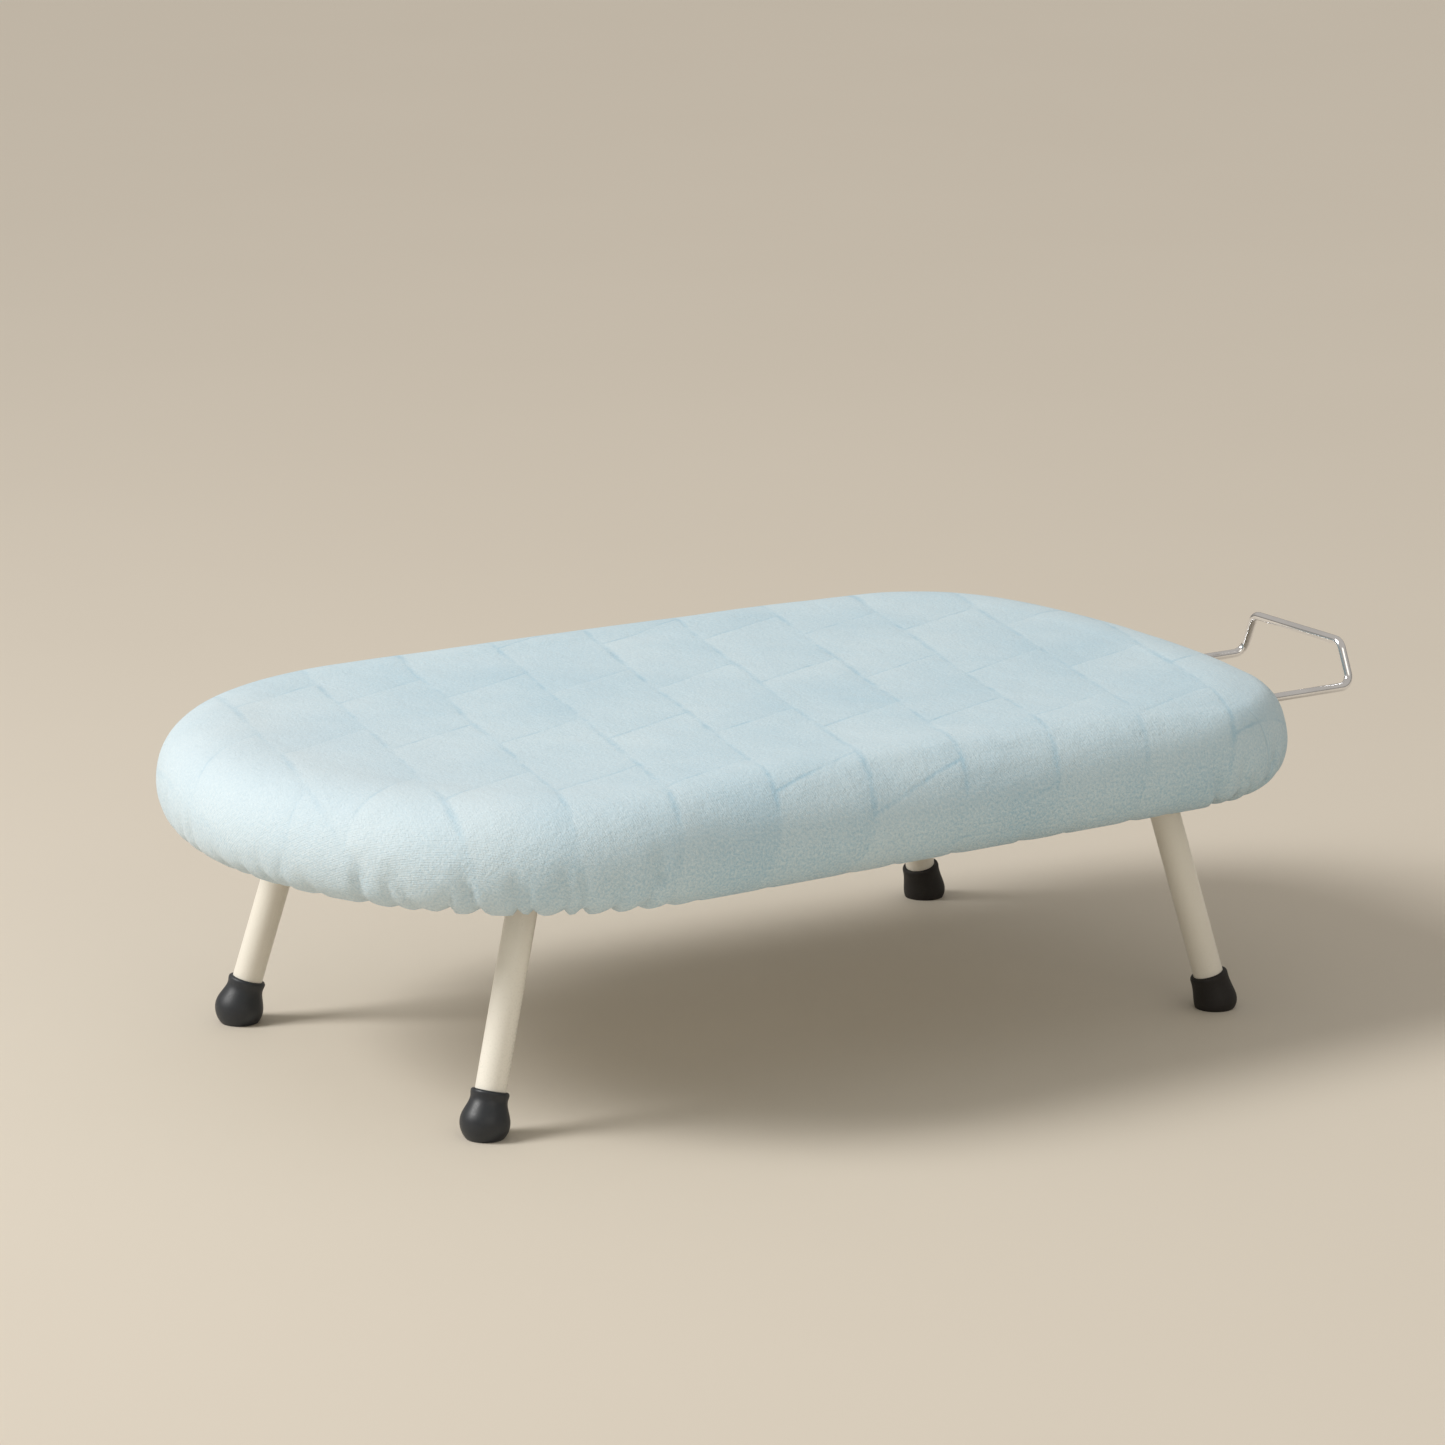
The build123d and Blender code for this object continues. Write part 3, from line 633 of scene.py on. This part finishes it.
def twill(look, x, y):
    """The weave's height: crossing threads, with ribs at 45 degrees."""
    ribs = look.math("SINE", look.math("MULTIPLY", look.math("ADD", x, y), math.tau / RIB_PITCH))
    warp = look.math("SINE", look.math("MULTIPLY", x, math.tau / THREAD_PITCH))
    weft = look.math("SINE", look.math("MULTIPLY", y, math.tau / THREAD_PITCH))
    threads = look.math("MULTIPLY", warp, weft)
    return look.math("MULTIPLY_ADD", threads, 0.5, look.math("MULTIPLY", ribs, 0.4))


def cotton():
    """Pale blue cotton twill with a faint lattice in its print, hem stitches and two seams, with painted
    shade in the seams' creases and in the grain from the edge down.
    """
    look = Look("cotton", COTTON_LIGHT, roughness=0.92, Sheen_Weight=0.25, Sheen_Roughness=0.5)
    look.shader.inputs["Specular IOR Level"].default_value = 0.25
    cloth = look.uv("cloth")
    x, y = apart(look, cloth)
    x = look.math("SUBTRACT", x, BOARD_X)
    s, t = apart(look, look.uv("edge"))
    lines, tone = cotton_print(look, cloth, x, y)
    lines = look.math("MULTIPLY", lines, look.spread(t, 60 * MM, 90 * MM, 1.0, 0.5))
    tone = look.math("MAXIMUM", look.math("ADD", tone, 0.02), lines, clamp=True)
    # The thread's grain, in tone. From the edge down it is painted 2.6 times as strong and darker on average:
    # painted shade of the weave's relief in grazing light.
    grain_and_side_shade = look.spread(look.noise(cloth, 620, 3, 0.7), 0.34, 0.66, -0.11, 0.22)
    grain_and_side_shade = look.math("MULTIPLY", grain_and_side_shade, look.spread(t, 55 * MM, 85 * MM, 1.0, 2.6))
    tone = look.math("ADD", tone, grain_and_side_shade, clamp=True)
    stitch = hem_stitches(look, s, t)
    seam = corner_seams(look, s, t)
    # The seam's crease is painted darker here: painted shade along it.
    tone = look.math("MAXIMUM", tone, look.math("MULTIPLY", seam, 0.5), clamp=True)
    colour = look.mix(tone, COTTON_LIGHT, COTTON_DEEP)
    colour = look.mix(look.spread(x, -FADE_FROM, -FADE_TO, FADE_MOST, 0.0), colour, COTTON_FADED)
    look.set("Base Color", look.mix(stitch, colour, STITCH_WHITE))
    slubs = look.noise(cloth, 520, 3, 0.7)
    crumple = look.noise(cloth, 45, 5, 0.62)
    height = look.math("MULTIPLY", twill(look, x, y), 0.14)
    for relief, share in ((slubs, 0.9), (crumple, 2.6), (lines, -0.3), (stitch, 0.35), (seam, -0.5)):
        height = look.math("ADD", height, look.math("MULTIPLY", relief, share))
    look.bump(height, 0.5 * MM, 1.0)
    return look.material


def speckled(name, colour, darker, roughness, scale, bump, **extra):
    """A hard surface with small variations in tone, gloss and relief."""
    look = Look(name, colour, roughness, **extra)
    where = look.place()
    broad = look.noise(where, 12, 4, 0.6)
    fine = look.noise(where, scale, 3, 0.6)
    share = look.math("ADD", look.spread(broad, 0.35, 0.7, 0.0, 0.7), look.spread(fine, 0.4, 0.7, 0.0, 0.3))
    look.set("Base Color", look.mix(share, colour, darker))
    both = look.math("ADD", broad, fine)
    look.set("Roughness", look.spread(both, 0.7, 1.3, roughness * 0.85, roughness * 1.2))
    look.bump(fine, 0.3 * MM, bump)
    return look.material


def chrome():
    """Bright plated wire, with fine bumps and a few dull patches."""
    look = Look("chrome_wire", (0.78, 0.78, 0.80), 0.12, 1.0)
    where = look.place()
    patches = look.noise(where, 60, 4, 0.6)
    fine = look.noise(where, 1500, 2, 0.5)
    look.set("Roughness", look.spread(patches, 0.3, 0.8, 0.05, 0.16))
    dull = look.spread(patches, 0.45, 0.8, 0.0, 0.6)
    look.set("Base Color", look.mix(dull, (0.90, 0.90, 0.92), (0.74, 0.74, 0.76)))
    look.bump(fine, 0.05 * MM, 0.12)
    return look.material


def zinc(name, colour):
    """Zinc-plated sheet: crystals of slightly different grey, with uneven gloss."""
    look = Look(name, colour, 0.38, 1.0)
    where = look.place()
    cells = look.node("ShaderNodeTexVoronoi", {"Vector": where, "Scale": 260.0}).outputs["Color"]
    grey = look.node("ShaderNodeRGBToBW", {0: cells}).outputs[0]
    darker = tuple(channel * 0.72 for channel in colour)
    look.set("Base Color", look.mix(look.spread(grey, 0.2, 0.8, 0.0, 0.5), colour, darker))
    look.set("Roughness", look.spread(look.noise(where, 90, 4, 0.6), 0.3, 0.75, 0.28, 0.5))
    look.bump(grey, 0.2 * MM, 0.06)
    return look.material


def foam_look():
    """Open-celled foam: a pale body with small pits, painted darker as shade."""
    look = Look("foam_cells", (0.80, 0.79, 0.72), 0.95)
    where = look.place()
    pits = look.node("ShaderNodeTexVoronoi", {"Vector": where, "Scale": 700.0}).outputs["Distance"]
    # Painted shade: the pits are coloured darker where the bump sinks.
    look.set("Base Color", look.mix(look.spread(pits, 0.1, 0.5), (0.50, 0.48, 0.41), (0.83, 0.82, 0.75)))
    look.bump(pits, 0.6 * MM, 0.6)
    return look.material


def elastic_look():
    """Ribbed elastic tape, with painted shade in the troughs between its ribs."""
    look = Look("elastic_ribs", (0.85, 0.85, 0.82), 0.8)
    where = look.place()
    inputs = {"Vector": where, "Scale": 420.0, "Distortion": 1.0}
    ribs = look.node("ShaderNodeTexWave", inputs).outputs["Fac"]
    # Painted shade: darker where the ribs dip.
    look.set("Base Color", look.mix(ribs, (0.62, 0.62, 0.60), (0.88, 0.88, 0.86)))
    look.bump(ribs, 0.3 * MM, 0.5)
    return look.material


def dress(node, material):
    """Give a CAD node its material."""
    slots = NODES[node].material_slots
    for place in slots:
        place.material = material
    if not slots:
        NODES[node].data.materials.append(material)


def dress_frame():
    """Materials for every CAD node that shows as it is, by the ends of the nodes' names."""
    leg = speckled("leg_enamel", (0.88, 0.85, 0.77), (0.83, 0.79, 0.70), 0.3, 900, 0.05, Coat_Weight=0.2)
    bulb = speckled("bulb_rubber", (0.016, 0.019, 0.024), (0.026, 0.030, 0.036), 0.45, 900, 0.1)
    taper = speckled("taper_rubber", (0.006, 0.005, 0.0045), (0.013, 0.010, 0.009), 0.62, 900, 0.12)
    panel = speckled("panel_enamel", (0.78, 0.78, 0.75), (0.68, 0.68, 0.66), 0.45, 1100, 0.12)
    plastic = speckled("nylon", (0.80, 0.80, 0.77), (0.72, 0.72, 0.69), 0.5, 500, 0.05)
    bush = speckled("bush_nylon", (0.62, 0.66, 0.68), (0.55, 0.59, 0.61), 0.5, 500, 0.05)
    bracket = zinc("zinc_sheet", (0.66, 0.67, 0.69))
    rivet = zinc("zinc_rivet", (0.56, 0.57, 0.59))
    endings = {
        "leg_frame": leg, "saddle": bracket, "stop": bracket, "rest_guide": bracket, "rivets": rivet,
        "screws": rivet, "clip": plastic, "bush": bush, "top_panel": panel, "rim_band": panel,
        "iron_rest": chrome(),
    }
    for node in NODES:
        if node.endswith("foot"):
            dress(node, bulb if node.startswith("left") else taper)
        for ending, material in endings.items():
            if node.endswith(ending):
                dress(node, material)


# ------------------------------------------------------------------ camera, light and floor
CAMERA_PLACE = (-1.97496 + BOARD_X, -3.02221, 1.0407)
CAMERA_DOWN = math.radians(13.728)
CAMERA_TURN = math.radians(-33.26)
FLOOR_HALF = 6.0
HORIZON = (0.06, (0.52, 0.48, 0.42, 1))
OVERHEAD = (0.42, (1.0, 0.94, 0.86, 1))
WORLD_STRENGTH = 0.47
SUN_DIRECTION = (0.72, -0.27, -0.64)


def make_camera():
    """The view: from the front left and a little above, with a long lens well back."""
    data = bpy.data.cameras.new("camera")
    data.lens = 176.8
    data.sensor_width = 36
    data.clip_end = 50
    camera = bpy.data.objects.new("camera", data)
    camera.location = CAMERA_PLACE
    camera.rotation_euler = (math.pi / 2 - CAMERA_DOWN, 0, CAMERA_TURN)
    bpy.context.scene.collection.objects.link(camera)
    bpy.context.scene.camera = camera


def make_floor():
    """A plain pale floor."""
    corners = [(x * FLOOR_HALF, y * FLOOR_HALF, 0) for x, y in ((-1, -1), (1, -1), (1, 1), (-1, 1))]
    floor = smooth_mesh("floor", corners, [(0, 1, 2, 3)])
    look = Look("pale_floor", (0.70, 0.64, 0.55), 0.7)
    blotches = look.noise(look.place(), 3, 3)
    look.set("Base Color", look.mix(blotches, (0.71, 0.65, 0.56), (0.69, 0.63, 0.54)))
    floor.data.materials.append(look.material)


def make_world():
    """A soft warm room: dim at the horizon, bright overhead."""
    world = bpy.data.worlds.new("studio")
    bpy.context.scene.world = world
    world.use_nodes = True
    tree = world.node_tree
    back = tree.nodes["Background"]
    back.inputs["Strength"].default_value = WORLD_STRENGTH
    place = tree.nodes.new("ShaderNodeTexCoord")
    split = tree.nodes.new("ShaderNodeSeparateXYZ")
    ramp = tree.nodes.new("ShaderNodeValToRGB")
    tree.links.new(place.outputs["Generated"], split.inputs[0])
    tree.links.new(split.outputs[2], ramp.inputs[0])
    tree.links.new(ramp.outputs[0], back.inputs["Color"])
    for element, (position, colour) in zip(ramp.color_ramp.elements, (HORIZON, OVERHEAD)):
        element.position = position
        element.color = colour


def make_sun():
    """The soft key light, high from the left."""
    data = bpy.data.lights.new("key", "SUN")
    data.energy = 1.4
    data.angle = math.radians(24)
    data.color = (1.0, 0.985, 0.96)
    key = bpy.data.objects.new("key", data)
    key.rotation_euler = Vector(SUN_DIRECTION).to_track_quat("-Z", "Y").to_euler()
    bpy.context.scene.collection.objects.link(key)


def area_light(name, place, aim, size, power, colour):
    """A rectangular lamp that points at a place."""
    data = bpy.data.lights.new(name, "AREA")
    data.shape = "RECTANGLE"
    data.size, data.size_y = size
    data.energy = power
    data.color = colour
    light = bpy.data.objects.new(name, data)
    light.location = place
    light.rotation_euler = (Vector(aim) - Vector(place)).to_track_quat("-Z", "Y").to_euler()
    bpy.context.scene.collection.objects.link(light)


def make_studio():
    """The floor and the plain soft light."""
    make_floor()
    make_world()
    make_sun()
    area_light("side", (-1.65, 0.6, 1.5), (-0.1, 0, 0.14), (0.8, 0.8), 17, (1.0, 0.985, 0.965))
    area_light("fill", (-0.4, -2.6, 1.2), (0, 0, 0.1), (2.0, 1.4), 8, (1.0, 0.95, 0.84))
    bpy.context.scene.view_settings.view_transform = "Standard"


# ------------------------------------------------------------------ put it together
make_camera()
make_studio()
cover, pad = make_cover()
elastic = make_elastic()
cover.data.materials.append(cotton())
pad.data.materials.append(foam_look())
elastic.data.materials.append(elastic_look())
dress_frame()
